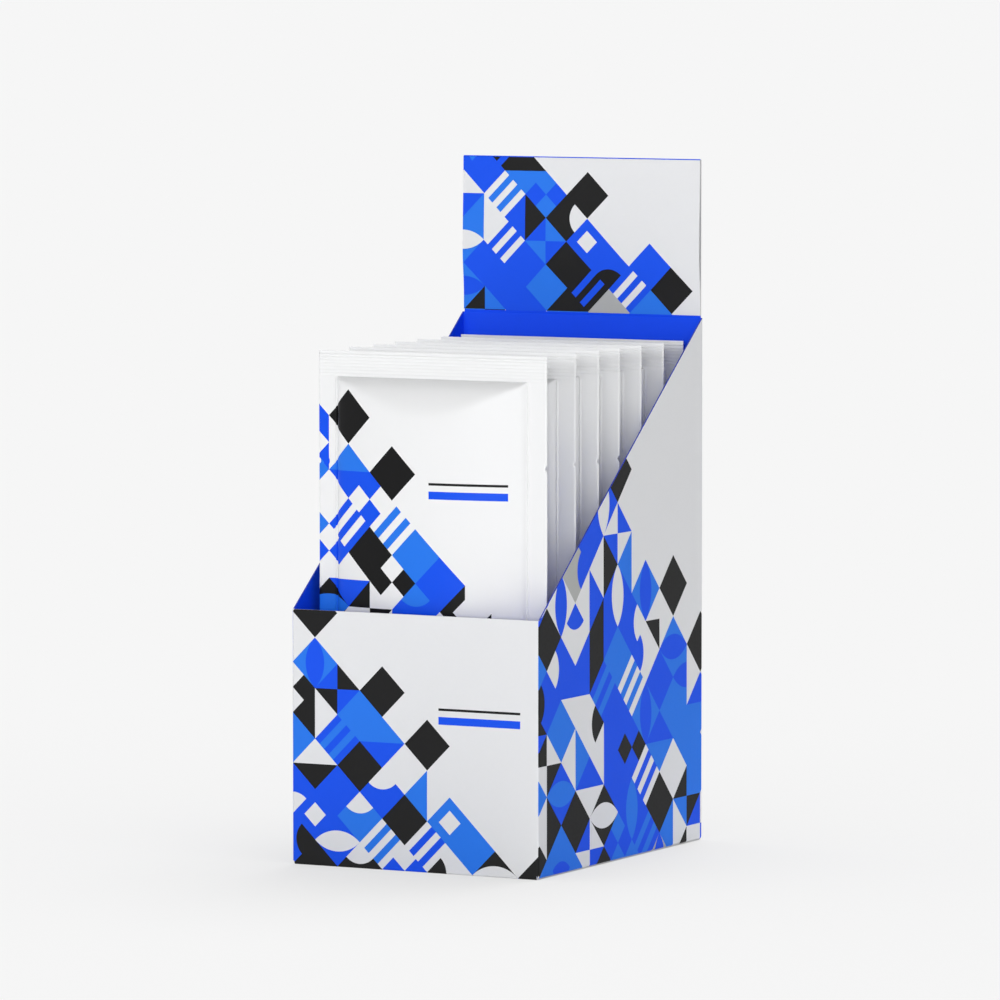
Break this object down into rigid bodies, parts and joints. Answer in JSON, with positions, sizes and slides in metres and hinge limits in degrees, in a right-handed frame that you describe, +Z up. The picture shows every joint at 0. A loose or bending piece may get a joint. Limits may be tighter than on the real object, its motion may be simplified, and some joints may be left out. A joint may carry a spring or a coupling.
{
  "type": "counter display box",
  "caption": "Open-front paperboard counter display box with sloping sides and a folded header, filled with upright sealed sachets.",
  "frame": {"origin": "middle of the base, on the surface that the box stands on", "axes": "+Z up; the low front panel faces -Y; +X is to the right, seen from the front"},
  "size_m": [0.1, 0.132, 0.252],
  "materials": {
    "board": "coated white paperboard, satin, printed outside, solid blue inside",
    "film": "white glossy laminate film, printed"
  },
  "bodies": {
    "root": {"carton": "board", "sachet_1": "film", "sachet_2": "film", "sachet_3": "film", "sachet_4": "film", "sachet_5": "film", "sachet_6": "film", "sachet_7": "film"}
  },
  "joints": []
}
